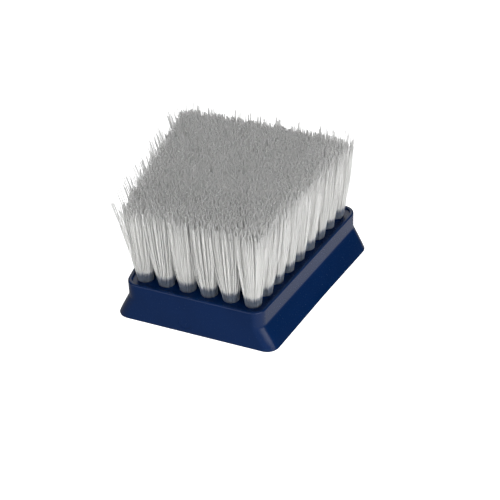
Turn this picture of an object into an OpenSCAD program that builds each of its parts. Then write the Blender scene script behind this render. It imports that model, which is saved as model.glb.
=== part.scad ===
// Slide-in nylon brush for cleaning soldering tips: a moulded block with blind holes,
// and in each hole a tuft of filaments folded over a flat metal anchor.
// Millimetres. The origin is the middle of the underside, +Z up, the narrow end at -Y.

/* [Block] */
// Length of the block, from its narrow end to its wide end
block_l = 44.4; // [43:0.1:60]
// Height of the block to the top of its rim
block_h = 9.7; // [8.5:0.1:14]
// Width of the underside at the narrow end
foot_front_w = 36.8; // [35:0.1:50]
// Width across the upright walls at the narrow end
wall_front_w = 31.2; // [30:0.1:34]
// Angle by which each long side spreads towards the wide end
side_taper = 7.5; // [4:0.1:9]
// Height at which the flared skirt meets the upright wall
skirt_h = 5.75; // [4:0.05:6.5]
// Height of the upright land along the foot of the skirt
land_h = 0.35; // [0.1:0.05:1]
// Radius of the upright corners
corner_r = 2.85; // [1.5:0.05:3.5]
// Chamfer along the top outer edge
top_chamfer = 0.25; // [0.1:0.05:0.5]
// Width of the rim around the tuft field
rim_w = 0.9; // [0.6:0.1:1.5]
// Depth of the tuft field below the rim
recess_d = 0.45; // [0.2:0.05:1]

/* [Underside] */
// Height of the shallow relief at the middle of the two end edges
end_relief = 0.5; // [0.1:0.05:0.8]
// Height of the shallow relief at the middle of the two long edges
side_relief = 0.3; // [0.1:0.05:0.6]
// How far the reliefs reach in from the edges
relief_w = 4; // [2:0.1:6]

/* [Tufts] */
// Number of rows from the narrow end to the wide end
row_count = 9; // [8:1:9]
// Distance between rows
row_pitch = 4.58; // [4.55:0.01:4.7]
// Distance of the outermost tufts of the first row from the centre line
first_row_half_w = 12.5; // [12.2:0.05:12.6]
// Largest spacing between tufts along a row, which sets how many a row holds
max_tuft_pitch = 5.05; // [5.02:0.01:5.1]
// Diameter of the tuft holes
hole_d = 3.66; // [3:0.02:3.8]
// Height of the bottom of the tuft holes above the underside
hole_floor_z = 2.6; // [1.5:0.1:4]
// Diameter of a tuft at its trimmed end
tuft_top_d = 4.36; // [3.8:0.02:4.36]
// Height to which all tufts are trimmed
trim_z = 28.4; // [18:0.1:35]

/* [Anchors] */
// Thickness of the flat anchor wire
anchor_t = 0.4; // [0.2:0.05:0.6]
// Depth of the anchor wire along the hole
anchor_h = 1.8; // [1:0.1:2.5]
// How far each end of an anchor bites into the wall of its hole
anchor_bite = 0.15; // [0.05:0.05:0.3]
// Thickness of the filament fold below an anchor
fold_h = 0.6; // [0.3:0.1:1.5]

/* [Marks] */
// Diameter of the ejector marks in the floor of the tuft field
ejector_d = 1.5; // [1:0.1:1.6]
// Depth of the ejector marks
ejector_depth = 0.2; // [0.1:0.05:0.4]
// Distance of the ejector marks from the outside of the wall
ejector_inset = 1.85; // [1.7:0.05:1.9]
// Diameter of the gate mark on the narrow end
gate_d = 3; // [2:0.1:4]
// Depth of the gate mark
gate_depth = 0.15; // [0.05:0.05:0.3]

/* [Hidden] */
$fn = 48;
hull_fn = 32;
eps = 0.01;
tuft_clearance = 0.03;
thin = 0.02;
relief_end = 3.4;
taper_slope = tan(side_taper);
floor_z = block_h - recess_d;
front_y = -block_l / 2;
back_y = block_l / 2;
first_row_y = -row_pitch * (row_count - 1) / 2;
gate_x = -2;
gate_z = 2.7;
// Gaps between rows that hold an ejector mark at each side, counted from the narrow end
ejector_gaps = [1, 3, 6, 8];
// A row's places from the centre line outwards
PLACES = ["centre", "inner", "middle", "outer"];

// Half width between the long sides at y, for sides that start w apart at the narrow end
function half_w(w, y) = w / 2 + (y - front_y) * taper_slope;

function row_y(row) = first_row_y + (row - 1) * row_pitch;
function row_half(row) = first_row_half_w + (row_y(row) - first_row_y) * taper_slope;
function row_tufts(row) = ceil(2 * row_half(row) / max_tuft_pitch) + 1;
function tuft_x(row, k) = row_half(row) * (2 * k / (row_tufts(row) - 1) - 1);

// A tuft's place: the outermost pair is "outer", the next "middle", the next "inner"
function steps_from_edge(row, k) = min(k, row_tufts(row) - 1 - k);
function place_of(row, k) = PLACES[max(0, 3 - steps_from_edge(row, k))];
function tufts_in(row, place) =
    [for (k = [0 : row_tufts(row) - 1]) if (place_of(row, k) == place) k];

function tuft_node(row, place) = str("row_", row, "_", place, "_tufts");
function anchor_node(row) = str("row_", row, "_anchors");

// The four upright corners of a tapered plan, drawn in by inset
module at_corners(front_w, inset, r) {
    for (side = [-1, 1], y = [front_y + inset + r, back_y - inset - r])
        translate([side * (half_w(front_w, y) - (inset + r) / cos(side_taper)), y, 0])
            children();
}

module skirt() {
    hull() {
        at_corners(foot_front_w, 0, corner_r)
            cylinder(h = land_h, r = corner_r, $fn = hull_fn);
        translate([0, 0, skirt_h - thin])
            at_corners(wall_front_w, 0, corner_r)
                cylinder(h = thin, r = corner_r, $fn = hull_fn);
    }
}

module upright_wall() {
    hull()
        at_corners(wall_front_w, 0, corner_r) {
            translate([0, 0, land_h])
                cylinder(h = block_h - top_chamfer - land_h, r = corner_r, $fn = hull_fn);
            translate([0, 0, block_h - top_chamfer])
                cylinder(h = top_chamfer, r1 = corner_r, r2 = corner_r - top_chamfer, $fn = hull_fn);
        }
}

module tuft_field_recess() {
    inner_r = corner_r - rim_w;
    translate([0, 0, floor_z])
        hull()
            at_corners(wall_front_w, rim_w, inner_r)
                cylinder(h = recess_d + 1, r = inner_r, $fn = hull_fn);
}

// A shallow triangular notch with its apex h high over the middle of its length
module relief_notch(length, h) {
    rotate([90, 0, 0])
        linear_extrude(height = 2 * relief_w, center = true)
            polygon([[-length / 2, 0], [0, h], [length / 2, 0], [0, -1]]);
}

// The middle of each edge of the underside is raised, and the corners and the field stay flat
module underside_relief() {
    for (side = [-1, 1]) {
        translate([0, side * block_l / 2, 0])
            relief_notch(2 * (half_w(foot_front_w, side * block_l / 2) - relief_end), end_relief);
        translate([side * half_w(foot_front_w, 0), 0, 0])
            rotate([0, 0, 90 - side * side_taper])
                relief_notch(block_l - 2 * relief_end, side_relief);
    }
}

module ejector_marks() {
    for (side = [-1, 1], gap = ejector_gaps) {
        y = row_y(gap) + row_pitch / 2;
        translate([side * (half_w(wall_front_w, y) - ejector_inset), y, floor_z - ejector_depth])
            cylinder(h = ejector_depth + 1, d = ejector_d);
    }
}

module gate_mark() {
    translate([gate_x, front_y + gate_depth, gate_z])
        rotate([90, 0, 0])
            difference() {
                cylinder(h = gate_depth + 1, d = gate_d);
                translate([0, 0, -eps])
                    cylinder(h = gate_depth + eps, d = gate_d / 3);
            }
}

module anchor(row, k) {
    length = hole_d + 2 * anchor_bite;
    translate([tuft_x(row, k) - length / 2, row_y(row) - anchor_t / 2, hole_floor_z + fold_h])
        cube([length, anchor_t, anchor_h]);
}

module tuft_hole(row, k) {
    translate([tuft_x(row, k), row_y(row), hole_floor_z])
        cylinder(h = block_h, d = hole_d);
}

// One tuft: a root that fills its hole, and a free length that spreads towards the trimmed end
module tuft(row, k) {
    root_h = floor_z - hole_floor_z;
    root_r = hole_d / 2 - tuft_clearance;
    difference() {
        translate([tuft_x(row, k), row_y(row), hole_floor_z]) {
            cylinder(h = root_h, r = root_r);
            translate([0, 0, root_h])
                cylinder(h = trim_z - floor_z, r1 = root_r, r2 = tuft_top_d / 2);
        }
        anchor(row, k);
    }
}

module brush_block() {
    color("#1b3a78")
        difference() {
            union() {
                skirt();
                upright_wall();
            }
            tuft_field_recess();
            underside_relief();
            ejector_marks();
            gate_mark();
            for (row = [1 : row_count], k = [0 : row_tufts(row) - 1]) {
                tuft_hole(row, k);
                anchor(row, k);
            }
        }
}

module tufts(row, place) {
    color("#dcdedd")
        for (k = tufts_in(row, place))
            tuft(row, k);
}

module anchors(row) {
    color("#b59a4e")
        for (k = [0 : row_tufts(row) - 1])
            anchor(row, k);
}

brush_block();
for (row = [1 : row_count], place = PLACES)
    tufts(row, place);
for (row = [1 : row_count])
    anchors(row);
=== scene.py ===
import math

import bpy
import bmesh
import numpy as np
from mathutils import Matrix, Vector


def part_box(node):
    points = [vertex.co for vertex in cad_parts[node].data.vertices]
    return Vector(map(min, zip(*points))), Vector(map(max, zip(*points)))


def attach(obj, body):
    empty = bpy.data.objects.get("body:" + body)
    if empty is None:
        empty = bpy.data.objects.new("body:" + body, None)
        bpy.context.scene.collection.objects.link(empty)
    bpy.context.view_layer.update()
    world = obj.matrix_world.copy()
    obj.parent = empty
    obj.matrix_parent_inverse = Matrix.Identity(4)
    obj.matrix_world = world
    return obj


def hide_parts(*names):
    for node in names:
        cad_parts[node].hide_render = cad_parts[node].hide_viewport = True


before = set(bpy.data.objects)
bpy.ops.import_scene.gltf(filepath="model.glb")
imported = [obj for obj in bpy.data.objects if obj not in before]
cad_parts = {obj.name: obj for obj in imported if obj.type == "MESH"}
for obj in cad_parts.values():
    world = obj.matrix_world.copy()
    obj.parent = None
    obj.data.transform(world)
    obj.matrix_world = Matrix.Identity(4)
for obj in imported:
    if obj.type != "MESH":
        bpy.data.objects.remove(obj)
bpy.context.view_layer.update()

MM = 0.001

# ---------------------------------------------------------------- sizes, in millimetres

# The block, as the CAD has it
SIDE_TAPER = 7.5
SKIRT_H = 5.75
LAND_H = 0.35
FOOT_FRONT_W = 36.8
WALL_FRONT_W = 31.2
CORNER_R = 2.85
RIM_W = 0.9
RECESS_D = 0.45
HOLE_FLOOR_Z = 2.6
HOLE_R = 1.83
END_RELIEF = 0.5
SIDE_RELIEF = 0.3
RELIEF_END = 3.4
RELIEF_W = 4.0
ROW_PITCH = 4.58
EJECTOR_GAPS = (1, 3, 6, 8)
EJECTOR_R = 0.75
EJECTOR_DEPTH = 0.2
EJECTOR_INSET = 1.85
GATE_X = -2.0
GATE_Z = 2.7
GATE_R = 1.5

# The gate mark is shallower than the CAD has it, as it hardly shows in the photograph
GATE_DEPTH = 0.06

# The small roundings that the CAD leaves out
TOP_ROUND = 0.34
RIM_INNER_ROUND = 0.22
FLOOR_FILLET = 0.25
FOOT_ROUND = 0.22
CREASE_ROUND = 0.15

# The filaments
FILAMENT_R = 0.08
FILAMENTS_PER_TUFT = 320
FILAMENT_SIDES = 4
FILAMENT_RINGS = 7
BUNDLE_R = HOLE_R - 0.03 - FILAMENT_R
ANCHOR_TOP_Z = 5.05

# The outline of the cut ends, which stand wider than the roots
PACK_FRONT_Y = -21.6
PACK_BACK_Y = 21.0
PACK_SIDE_INSET = 0.4

# The left, right, front and back edge of the field: the share of loose filaments, the loose clumps in each
# tuft, how far those lean out and how much longer they are, and how much lower the cut ends stand at the edge
EDGES = ((0.08, 3, 3.0, 1.6, 0.2), (0.04, 0, 0.6, 0.3, 2.2), (0.03, 0, 0.9, 0.3, 1.8), (0.10, 3, 1.3, 1.9, 0.2))

# The camera
CAMERA_AZIMUTH = 24.29
CAMERA_ELEVATION = 35.73
CAMERA_ROLL = -2.14
CAMERA_DISTANCE = 315.0
CAMERA_LENS = 100.8
CAMERA_AIM = (1.86, 4.59, 4.75)

# The studio: how bright its surroundings are, where 1 is white
SKY_LIGHT = 0.12
HORIZON_LIGHT = 0.02
TABLE_LIGHT_LEFT = 0.34
TABLE_LIGHT_RIGHT = 1.1


# ---------------------------------------------------------------- the frame, in millimetres


def box_mm(node):
    """Lowest and highest corner of a CAD node, in millimetres."""
    low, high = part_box(node)
    return low / MM, high / MM


block_low, block_high = box_mm("brush_block")
FRONT_Y = block_low.y
BACK_Y = block_high.y
BLOCK_L = BACK_Y - FRONT_Y
BLOCK_H = block_high.z
FLOOR_Z = BLOCK_H - RECESS_D
TAPER = math.tan(math.radians(SIDE_TAPER))

TUFT_NODES = sorted(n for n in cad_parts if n.endswith("_tufts"))
ANCHOR_NODES = sorted(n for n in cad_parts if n.endswith("_anchors"))
TRIM_Z = box_mm(TUFT_NODES[0])[1].z


def half_width(front_w, y):
    """Half the width between the spreading long sides at y, for sides front_w apart at the narrow end."""
    return front_w / 2 + (y - FRONT_Y) * TAPER


def tuft_centres(node):
    """The (x, y) of the one or two tufts in a CAD node, from its box."""
    low, high = box_mm(node)
    radius = (high.y - low.y) / 2
    y = (high.y + low.y) / 2
    x = high.x - radius
    if x < radius / 2:
        return [(0.0, y)]
    return [(-x, y), (x, y)]


ROWS = sorted({round(tuft_centres(n)[0][1], 3) for n in TUFT_NODES})


# ---------------------------------------------------------------- node materials


class Material:
    """A node material under construction, with short helpers for the nodes that this scene uses."""

    def __init__(self, name):
        self.material = bpy.data.materials.new(name)
        self.material.use_nodes = True
        self.nodes = self.material.node_tree.nodes
        self.links = self.material.node_tree.links
        self.shader = self.nodes["Principled BSDF"]

    def set(self, **sockets):
        """Plain values, each put straight on the shader's own socket."""
        for name, value in sockets.items():
            self.shader.inputs[name.replace("_", " ")].default_value = value

    def link(self, source, target):
        self.links.new(source, target)

    def coords(self, scale=(1, 1, 1)):
        """The point in the row's frame in millimetres, times scale."""
        place = self.nodes.new("ShaderNodeTexCoord")
        mapping = self.nodes.new("ShaderNodeMapping")
        mapping.inputs["Scale"].default_value = [s / MM for s in scale]
        self.link(place.outputs["Object"], mapping.inputs["Vector"])
        return mapping.outputs["Vector"]

    def noise(self, scale, detail=2.0, roughness=0.5):
        """Noise with features about 1 / scale millimetres long on each axis."""
        node = self.nodes.new("ShaderNodeTexNoise")
        node.inputs["Scale"].default_value = 1.0
        node.inputs["Detail"].default_value = detail
        node.inputs["Roughness"].default_value = roughness
        self.link(self.coords(scale), node.inputs["Vector"])
        return node.outputs["Fac"]

    def ramp(self, value, low, high, to_low, to_high, smooth=False):
        """value from low..high mapped to to_low..to_high and held at the ends."""
        node = self.nodes.new("ShaderNodeMapRange")
        if smooth:
            node.interpolation_type = "SMOOTHSTEP"
        for name, number in zip(("From Min", "From Max", "To Min", "To Max"), (low, high, to_low, to_high)):
            node.inputs[name].default_value = number
        self.link(value, node.inputs["Value"])
        return node.outputs["Result"]

    def mix(self, factor, first, second):
        """A colour between first and second, each a colour or a socket."""
        node = self.nodes.new("ShaderNodeMix")
        node.data_type = "RGBA"
        self.link(factor, node.inputs["Factor"])
        for name, colour in (("A", first), ("B", second)):
            socket = [s for s in node.inputs if s.name == name and s.type == "RGBA"][0]
            if isinstance(colour, bpy.types.NodeSocket):
                self.link(colour, socket)
            else:
                socket.default_value = (*colour, 1.0)
        return [s for s in node.outputs if s.type == "RGBA"][0]

    def add(self, first, second):
        node = self.nodes.new("ShaderNodeMath")
        self.link(first, node.inputs[0])
        self.link(second, node.inputs[1])
        return node.outputs["Value"]

    def height(self):
        """The height above the underside, in millimetres."""
        node = self.nodes.new("ShaderNodeSeparateXYZ")
        self.link(self.coords(), node.inputs["Vector"])
        return node.outputs["Z"]

    def bump(self, height, distance_mm, strength=1.0):
        node = self.nodes.new("ShaderNodeBump")
        node.inputs["Strength"].default_value = strength
        node.inputs["Distance"].default_value = distance_mm * MM
        self.link(height, node.inputs["Height"])
        self.link(node.outputs["Normal"], self.shader.inputs["Normal"])


def moulded_plastic():
    m = Material("moulded_plastic")
    m.set(IOR=1.46, Specular_IOR_Level=0.22)
    tone = m.noise((0.12, 0.12, 0.12), detail=3.0)
    colour = m.mix(m.ramp(tone, 0.35, 0.65, 0.0, 1.0), (0.0001, 0.0108, 0.052), (0.0002, 0.0120, 0.058))
    m.link(colour, m.shader.inputs["Base Color"])
    grain = m.noise((3.2, 3.2, 3.2), detail=3.0, roughness=0.6)
    m.link(m.ramp(grain, 0.3, 0.7, 0.22, 0.28), m.shader.inputs["Roughness"])
    m.bump(grain, 0.006, 0.4)
    return m.material


def nylon_filament():
    m = Material("nylon_filament")
    m.set(IOR=1.53, Specular_IOR_Level=0.2, Subsurface_Weight=1.0, Subsurface_Scale=3.0 * MM)
    m.shader.inputs["Subsurface Radius"].default_value = (1.0, 1.0, 1.0)
    strand = m.noise((2.2, 2.2, 0.05), detail=1.0)
    body = m.mix(m.ramp(strand, 0.3, 0.7, 0.0, 1.0), (0.965, 0.965, 0.958), (0.99, 0.99, 0.982))
    # Painted shade: towards their roots the filaments are painted darker and bluer, standing in for the shade low in
    # the packed tufts and the blue light thrown up by the block; the band's upper edge wanders with the strand noise
    wander = m.ramp(strand, 0.3, 0.7, -0.3, 0.3)
    root = m.ramp(m.add(m.height(), wander), FLOOR_Z + 1.6, FLOOR_Z + 2.9, 1.0, 0.0, smooth=True)
    colour = m.mix(root, body, (0.21, 0.26, 0.37))
    m.link(colour, m.shader.inputs["Base Color"])
    m.link(m.ramp(strand, 0.3, 0.7, 0.40, 0.52), m.shader.inputs["Roughness"])
    # Part of the light goes straight through, so the filaments behind are lit too
    through = m.nodes.new("ShaderNodeBsdfTranslucent")
    m.link(colour, through.inputs["Color"])
    both = m.nodes.new("ShaderNodeMixShader")
    both.inputs["Fac"].default_value = 0.35
    m.link(m.shader.outputs["BSDF"], both.inputs[1])
    m.link(through.outputs["BSDF"], both.inputs[2])
    m.link(both.outputs["Shader"], m.nodes["Material Output"].inputs["Surface"])
    return m.material


def anchor_wire():
    m = Material("anchor_wire")
    m.set(Metallic=1.0)
    drawn = m.noise((0.4, 8.0, 8.0), detail=2.0)
    m.link(m.mix(drawn, (0.62, 0.46, 0.17), (0.75, 0.60, 0.28)), m.shader.inputs["Base Color"])
    m.link(m.ramp(drawn, 0.3, 0.7, 0.22, 0.4), m.shader.inputs["Roughness"])
    m.bump(drawn, 0.01, 0.4)
    return m.material


def pale_floor():
    m = Material("pale_floor")
    m.set(Base_Color=(0.82, 0.82, 0.82, 1.0), Roughness=0.9, Specular_IOR_Level=0.1)
    m.set(Emission_Color=(1.0, 1.0, 1.0, 1.0), Emission_Strength=1.0)
    return m.material


# ---------------------------------------------------------------- meshes


def mesh_object(name, vertices, faces, material):
    """A new object from vertices in millimetres."""
    mesh = bpy.data.meshes.new(name)
    mesh.from_pydata((np.asarray(vertices, float) * MM).tolist(), [], faces)
    mesh.materials.append(material)
    piece = bpy.data.objects.new(name, mesh)
    bpy.context.scene.collection.objects.link(piece)
    return piece


def apply_modifiers(piece):
    """The piece's mesh becomes what its modifiers make of it."""
    graph = bpy.context.evaluated_depsgraph_get()
    mesh = bpy.data.meshes.new_from_object(piece.evaluated_get(graph))
    piece.modifiers.clear()
    piece.data = mesh


# ---------------------------------------------------------------- the block

ARC_STEPS = 10
EDGE_STEPS = 12


def arc(start, end, steps):
    """Angles from start to end in radians, both ends included."""
    return [start + (end - start) * i / steps for i in range(steps + 1)]


def plan_ring(front_w, inset, z):
    """A ring round the tapered plan, drawn in by inset, with rounded upright corners, counter-clockwise."""
    slant = math.radians(SIDE_TAPER)
    radius = max(CORNER_R - inset, 0.3)
    front = FRONT_Y + inset + radius
    back = BACK_Y - inset - radius

    def centre_x(y):
        return half_width(front_w, y) - (inset + radius) / math.cos(slant)

    corners = [
        ((centre_x(front), front), -math.pi / 2, -slant),
        ((centre_x(back), back), -slant, math.pi / 2),
        ((-centre_x(back), back), math.pi / 2, math.pi + slant),
        ((-centre_x(front), front), math.pi + slant, 3 * math.pi / 2),
    ]
    arcs = [
        [(cx + radius * math.cos(t), cy + radius * math.sin(t)) for t in arc(start, end, ARC_STEPS)]
        for (cx, cy), start, end in corners
    ]
    points = []
    for i, corner in enumerate(arcs):
        points += corner
        (ax, ay), (bx, by) = corner[-1], arcs[(i + 1) % 4][0]
        points += [(ax + (bx - ax) * k / EDGE_STEPS, ay + (by - ay) * k / EDGE_STEPS) for k in range(1, EDGE_STEPS)]
    return [(x, y, z) for x, y in points]


def skirt_front_w(z):
    """Width across the skirts at the narrow end at height z, with the crease above them eased."""
    if z <= LAND_H:
        return FOOT_FRONT_W
    slope = (WALL_FRONT_W - FOOT_FRONT_W) / (SKIRT_H - LAND_H)
    flared = FOOT_FRONT_W + slope * (z - LAND_H)
    gap = flared - WALL_FRONT_W
    return WALL_FRONT_W + (gap + math.sqrt(gap * gap + CREASE_ROUND**2)) / 2


def underside_relief(x, y):
    """How far the edge of the underside is raised at a point on its outline."""
    end_half = half_width(FOOT_FRONT_W, y) - RELIEF_END
    side_half = BLOCK_L / 2 - RELIEF_END
    if abs(abs(y) - BLOCK_L / 2) < 0.05:
        return END_RELIEF * max(0.0, 1 - abs(x) / end_half)
    return SIDE_RELIEF * max(0.0, 1 - abs(y) / side_half)


def block_rings():
    """The block's outside from the underside up over the rim and down to the floor of the tuft field."""
    rings = []
    for t in arc(0, math.pi / 2, 3):
        inset = FOOT_ROUND * (1 - math.sin(t))
        rings.append(plan_ring(FOOT_FRONT_W, inset, FOOT_ROUND * (1 - math.cos(t))))
    rings = [[(x, y, z + underside_relief(x, y)) for x, y, z in ring] for ring in rings]
    heights = [1.6, 2.4, 3.2, 4.0, 4.6, 5.0, 5.3, 5.55, 5.75, 5.95, 6.2, 6.6, 7.2, 8.2]
    rings += [plan_ring(skirt_front_w(z), 0, z) for z in heights]
    for t in arc(0, math.pi / 2, 4):
        rings.append(plan_ring(WALL_FRONT_W, TOP_ROUND * (1 - math.cos(t)), BLOCK_H - TOP_ROUND * (1 - math.sin(t))))
    for t in arc(0, math.pi / 2, 3):
        inset = RIM_W - RIM_INNER_ROUND * (1 - math.sin(t))
        rings.append(plan_ring(WALL_FRONT_W, inset, BLOCK_H - RIM_INNER_ROUND * (1 - math.cos(t))))
    for t in arc(0, math.pi / 2, 2):
        inset = RIM_W + FLOOR_FILLET * (1 - math.cos(t))
        rings.append(plan_ring(WALL_FRONT_W, inset, FLOOR_Z + FLOOR_FILLET * (1 - math.sin(t))))
    return rings


def loft(rings):
    """Quads between neighbouring rings of equal length."""
    count = len(rings[0])
    faces = []
    for level in range(len(rings) - 1):
        for i in range(count):
            j = (i + 1) % count
            a, b = level * count, (level + 1) * count
            faces.append((a + i, a + j, b + j, b + i))
    return faces


def cylinder_cutter(mesh, radius, low, high, matrix, steps=40):
    """Adds a closed cylinder from low to high along its own Z to a bmesh of cutters."""
    made = bmesh.ops.create_cone(
        mesh, cap_ends=True, segments=steps, radius1=radius, radius2=radius, depth=high - low
    )
    bmesh.ops.transform(mesh, matrix=matrix @ Matrix.Translation((0, 0, (low + high) / 2)), verts=made["verts"])


def block_cutters():
    """The tuft holes, the ejector marks and the gate mark as one object of separate cylinders."""
    cutters = bmesh.new()
    for node in TUFT_NODES:
        for x, y in tuft_centres(node):
            cylinder_cutter(cutters, HOLE_R, HOLE_FLOOR_Z, BLOCK_H + 1, Matrix.Translation((x, y, 0)))
    for side in (-1, 1):
        for gap in EJECTOR_GAPS:
            y = ROWS[gap - 1] + ROW_PITCH / 2
            x = side * (half_width(WALL_FRONT_W, y) - EJECTOR_INSET)
            cylinder_cutter(cutters, EJECTOR_R, FLOOR_Z - EJECTOR_DEPTH, BLOCK_H + 1, Matrix.Translation((x, y, 0)))
    place = Matrix.Translation((GATE_X, FRONT_Y, GATE_Z)) @ Matrix.Rotation(math.pi / 2, 4, "X")
    cylinder_cutter(cutters, GATE_R, -GATE_DEPTH, 1, place)
    bmesh.ops.transform(cutters, matrix=Matrix.Scale(MM, 4), verts=cutters.verts)
    mesh = bpy.data.meshes.new("block_cutters")
    cutters.to_mesh(mesh)
    cutters.free()
    cutter = bpy.data.objects.new("block_cutters", mesh)
    bpy.context.scene.collection.objects.link(cutter)
    return cutter


def make_block(material):
    rings = block_rings()
    count = len(rings[0])
    pad = [(x, y, 0.0) for x, y, z in plan_ring(FOOT_FRONT_W, RELIEF_W, 0.0)]
    rings = [pad] + rings
    faces = loft(rings)
    faces.append(tuple(reversed(range(count))))
    faces.append(tuple((len(rings) - 1) * count + i for i in range(count)))
    vertices = [v for ring in rings for v in ring]
    piece = mesh_object("brush_block_moulding", vertices, faces, material)
    cutter = block_cutters()
    cut = piece.modifiers.new("holes", "BOOLEAN")
    cut.operation = "DIFFERENCE"
    cut.solver = "EXACT"
    cut.object = cutter
    apply_modifiers(piece)
    bpy.data.objects.remove(cutter)
    piece.data.shade_smooth()
    piece.data.set_sharp_from_angle(angle=math.radians(28))
    weigh = piece.modifiers.new("weighted_normals", "WEIGHTED_NORMAL")
    weigh.keep_sharp = True
    weigh.weight = 100
    apply_modifiers(piece)
    return piece


# ---------------------------------------------------------------- the tufts

rng = np.random.default_rng(20261118)


def disc_points(count):
    """Points spread evenly over a unit disc, as radius and angle."""
    index = np.arange(count) + 0.5
    return np.sqrt(index / count), index * math.pi * (3 - math.sqrt(5))


def between(values, low, high):
    """The limits of each value's share of low..high: half way to its neighbours, and the ends."""
    middles = [(a + b) / 2 for a, b in zip(values, values[1:])]
    return list(zip([low, *middles], [*middles, high]))


def cut_cells():
    """For each tuft's (x, y), the cell that its cut end fills: its middle and half size."""
    cells = {}
    for y, (low_y, high_y) in zip(ROWS, between(ROWS, PACK_FRONT_Y, PACK_BACK_Y)):
        xs = sorted(x for node in TUFT_NODES for x, ty in tuft_centres(node) if abs(ty - y) < 0.1)
        half = half_width(WALL_FRONT_W, y) - PACK_SIDE_INSET
        for x, (low_x, high_x) in zip(xs, between(xs, -half, half)):
            middle = ((low_x + high_x) / 2, (low_y + high_y) / 2)
            cells[round(x, 2), round(y, 2)] = (np.array(middle), np.array([high_x - low_x, high_y - low_y]) / 2)
    return cells


def is_edge(x, y):
    """Whether a tuft is the last one on the left, on the right, at the front and at the back."""
    xs = [cx for cx, cy in CELLS if abs(cy - y) < 0.1]
    return x < min(xs) + 0.1, x > max(xs) - 0.1, y < ROWS[0] + 0.1, y > ROWS[-1] - 0.1


def outward_sides(x, y, place):
    """For each side where a tuft is at the edge of the field: its index, and how far out each filament stands."""
    outwards = ((-1, 0), (1, 0), (0, -1), (0, 1))
    return [(i, place @ np.array(outwards[i], float)) for i, at_edge in enumerate(is_edge(x, y)) if at_edge]


def tuft_curves(x, y, cell_middle, cell_half):
    """Centre lines of a tuft's filaments, as an array of filament, ring and coordinate."""
    count = FILAMENTS_PER_TUFT
    radius, angle = disc_points(count)
    angle = angle + rng.uniform(0, 2 * math.pi)
    unit = np.stack([np.cos(angle), np.sin(angle)], axis=1)
    root = unit * (radius * BUNDLE_R)[:, None] + rng.normal(0, 0.03, (count, 2)) + (x, y)
    squareness = 1 + 0.85 * (1 / np.abs(unit).max(axis=1) - 1)
    place = unit * (radius * squareness)[:, None]
    top = place * cell_half * 1.08 + cell_middle
    scatter = rng.normal(0, 0.4, (count, 2))
    length_top = TRIM_Z + rng.normal(0, 0.10, count)
    flare = rng.uniform(1.5, 2.7, (count, 1)) * np.ones((1, 2))
    lean = np.zeros((count, 2))
    for side, out in outward_sides(x, y, place):
        axis, sign = side // 2, (-1, 1)[side % 2]
        share, clumps, reach, lift, drop = EDGES[side]
        flare[out > 0, axis] = rng.uniform(1.0, 1.5, count)[out > 0]
        scatter[:, axis] *= 0.5
        length_top -= drop * (0.5 + np.clip(out, -1, 1.1) / 2) ** 2 * rng.uniform(0, 1, count)
        loose = np.where((out > 0.72) & (rng.uniform(size=count) < share), rng.uniform(0.2, 1.0, count) ** 1.5, 0.0)
        for where in rng.uniform(-1, 1, clumps):
            together = (out > 0.6) & (np.abs(place[:, 1 - axis] - where) < 0.07)
            loose[together] = rng.uniform(0.3, 1.0) * rng.uniform(0.85, 1.15, together.sum())
        lean[:, axis] += sign * loose * reach
        length_top += loose * lift * rng.uniform(0.3, 1.0, count)
    along = np.linspace(0, 1, FILAMENT_RINGS - 1)
    spread = 1 - (1 - along[None, :, None]) ** flare[:, None, :]
    bend = np.sin(along * math.pi)[None, :, None] * rng.normal(0, 0.06, (count, 1, 2))
    middle = root[:, None, :] + (top + scatter - root)[:, None, :] * spread + bend
    middle += lean[:, None, :] * along[None, :, None] ** 2
    height = FLOOR_Z + (length_top - FLOOR_Z)[:, None] * along[None, :]
    curve = np.concatenate([middle, height[:, :, None]], axis=2)
    start = np.concatenate([root, np.full((count, 1), ANCHOR_TOP_Z)], axis=1)[:, None, :]
    return np.concatenate([start, curve], axis=1)


def tubes(curves):
    """Closed tubes round the centre lines, as vertices and faces."""
    count, rings = curves.shape[:2]
    sides = FILAMENT_SIDES
    turn = np.arange(sides) * 2 * math.pi / sides
    thickness = FILAMENT_R * rng.uniform(0.92, 1.08, (count, 1, 1, 1))
    offset = np.stack([np.cos(turn), np.sin(turn), np.zeros(sides)], axis=1)[None, None] * thickness
    vertices = (curves[:, :, None, :] + offset).reshape(-1, 3)
    corner = np.arange(sides)
    following = (corner + 1) % sides
    level = np.arange(rings - 1)[:, None] * sides
    wall = np.stack([level + corner, level + following, level + sides + following, level + sides + corner], axis=-1)
    base = np.arange(count)[:, None, None] * rings * sides
    walls = (base + wall.reshape(1, -1, 4)).reshape(-1, 4).tolist()
    caps = np.stack([corner[::-1], (rings - 1) * sides + corner])
    ends = (base + caps[None]).reshape(-1, sides).tolist()
    return vertices, walls + ends


CELLS = cut_cells()


def make_tufts(node, material):
    curves = [tuft_curves(x, y, *CELLS[round(x, 2), round(y, 2)]) for x, y in tuft_centres(node)]
    vertices, faces = tubes(np.concatenate(curves))
    piece = mesh_object(node.replace("_tufts", "_filaments"), vertices, faces, material)
    piece.data.shade_smooth()
    piece.data.set_sharp_from_angle(angle=math.radians(100))
    return piece


# ---------------------------------------------------------------- the object

plastic = moulded_plastic()
nylon = nylon_filament()
wire = anchor_wire()

block = make_block(plastic)
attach(block, "root")
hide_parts("brush_block")

for node in TUFT_NODES:
    tufts = make_tufts(node, nylon)
    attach(tufts, "root")
    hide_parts(node)

for node in ANCHOR_NODES:
    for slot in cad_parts[node].material_slots:
        slot.material = wire


# ---------------------------------------------------------------- the studio


def make_floor():
    half = 3000
    floor = mesh_object(
        "floor", [(-half, -half, 0), (half, -half, 0), (half, half, 0), (-half, half, 0)], [(0, 1, 2, 3)], pale_floor()
    )
    floor.visible_glossy = False
    floor.visible_diffuse = False
    return floor


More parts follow.
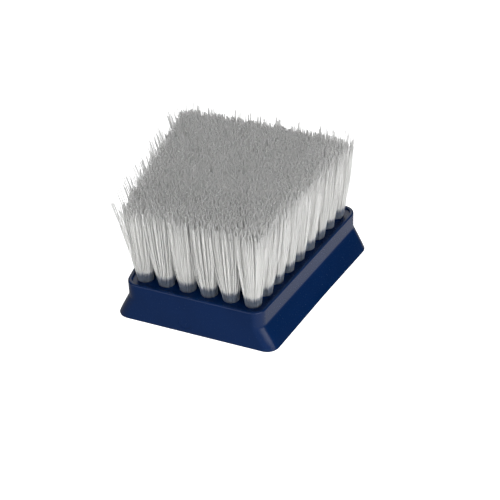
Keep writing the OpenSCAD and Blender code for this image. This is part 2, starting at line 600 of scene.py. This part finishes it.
def area_light(name, azimuth, elevation, distance, size, power):
    """A soft light, size wide and high, that looks at the object from a direction."""
    data = bpy.data.lights.new(name, "AREA")
    data.shape = "RECTANGLE"
    data.size, data.size_y = size[0] * MM, size[1] * MM
    data.energy = power
    light = bpy.data.objects.new(name, data)
    bpy.context.scene.collection.objects.link(light)
    back = direction(azimuth, elevation)
    light.location = back * distance * MM
    light.rotation_mode = "QUATERNION"
    light.rotation_quaternion = (-back).to_track_quat("-Z", "Y")
    return light


def direction(azimuth, elevation):
    """The unit vector from the object towards a viewer or light; azimuth 0 is in front of the narrow end."""
    a, e = math.radians(azimuth), math.radians(elevation)
    return Vector((math.sin(a) * math.cos(e), -math.cos(a) * math.cos(e), math.sin(e)))


def make_world():
    """Soft light from all round: dark at the horizon, brighter overhead, and from below brightest at the right."""
    world = bpy.data.worlds.new("studio")
    world.use_nodes = True
    nodes = world.node_tree.nodes
    links = world.node_tree.links
    place = nodes.new("ShaderNodeTexCoord")
    split = nodes.new("ShaderNodeSeparateXYZ")
    links.new(place.outputs["Generated"], split.inputs["Vector"])

    def ramp(socket, low, high, to_low, to_high):
        node = nodes.new("ShaderNodeMapRange")
        node.interpolation_type = "SMOOTHSTEP"
        for name, number in zip(("From Min", "From Max", "To Min", "To Max"), (low, high, to_low, to_high)):
            node.inputs[name].default_value = number
        links.new(socket, node.inputs["Value"])
        return node.outputs["Result"]

    def combine(operation, first, second):
        node = nodes.new("ShaderNodeMath")
        node.operation = operation
        links.new(first, node.inputs[0])
        links.new(second, node.inputs[1])
        return node.outputs["Value"]

    above = ramp(split.outputs["Z"], 0.10, 0.45, HORIZON_LIGHT, SKY_LIGHT)
    below = ramp(split.outputs["Z"], -0.40, -0.10, 1.0, 0.0)
    across = ramp(split.outputs["X"], -0.30, 0.80, TABLE_LIGHT_LEFT, TABLE_LIGHT_RIGHT)
    level = combine("ADD", above, combine("MULTIPLY", below, across))
    links.new(level, nodes["Background"].inputs["Strength"])
    nodes["Background"].inputs["Color"].default_value = (1.0, 1.0, 1.0, 1.0)
    bpy.context.scene.world = world


def make_camera():
    back = direction(CAMERA_AZIMUTH, CAMERA_ELEVATION)
    level = Vector((math.cos(math.radians(CAMERA_AZIMUTH)), math.sin(math.radians(CAMERA_AZIMUTH)), 0))
    upright = back.cross(level)
    roll = math.radians(CAMERA_ROLL)
    right = level * math.cos(roll) + upright * math.sin(roll)
    up = upright * math.cos(roll) - level * math.sin(roll)
    data = bpy.data.cameras.new("camera")
    data.lens = CAMERA_LENS
    data.sensor_width = 36
    data.clip_start = 0.01
    data.clip_end = 20
    camera = bpy.data.objects.new("camera", data)
    bpy.context.scene.collection.objects.link(camera)
    turned = Matrix((right, up, back)).transposed().to_4x4()
    place = (Vector(CAMERA_AIM) + back * CAMERA_DISTANCE) * MM
    camera.matrix_world = Matrix.Translation(place) @ turned
    bpy.context.scene.camera = camera


make_floor()
make_world()
make_camera()
area_light("key", 60, 17, 700, (800, 450), 6.8)
area_light("fill", -20, 13, 800, (1400, 500), 6.8)
area_light("back", 204, 35, 900, (600, 500), 1.9)
bpy.context.scene.view_settings.view_transform = "Standard"
bpy.context.scene.cycles.diffuse_bounces = 12
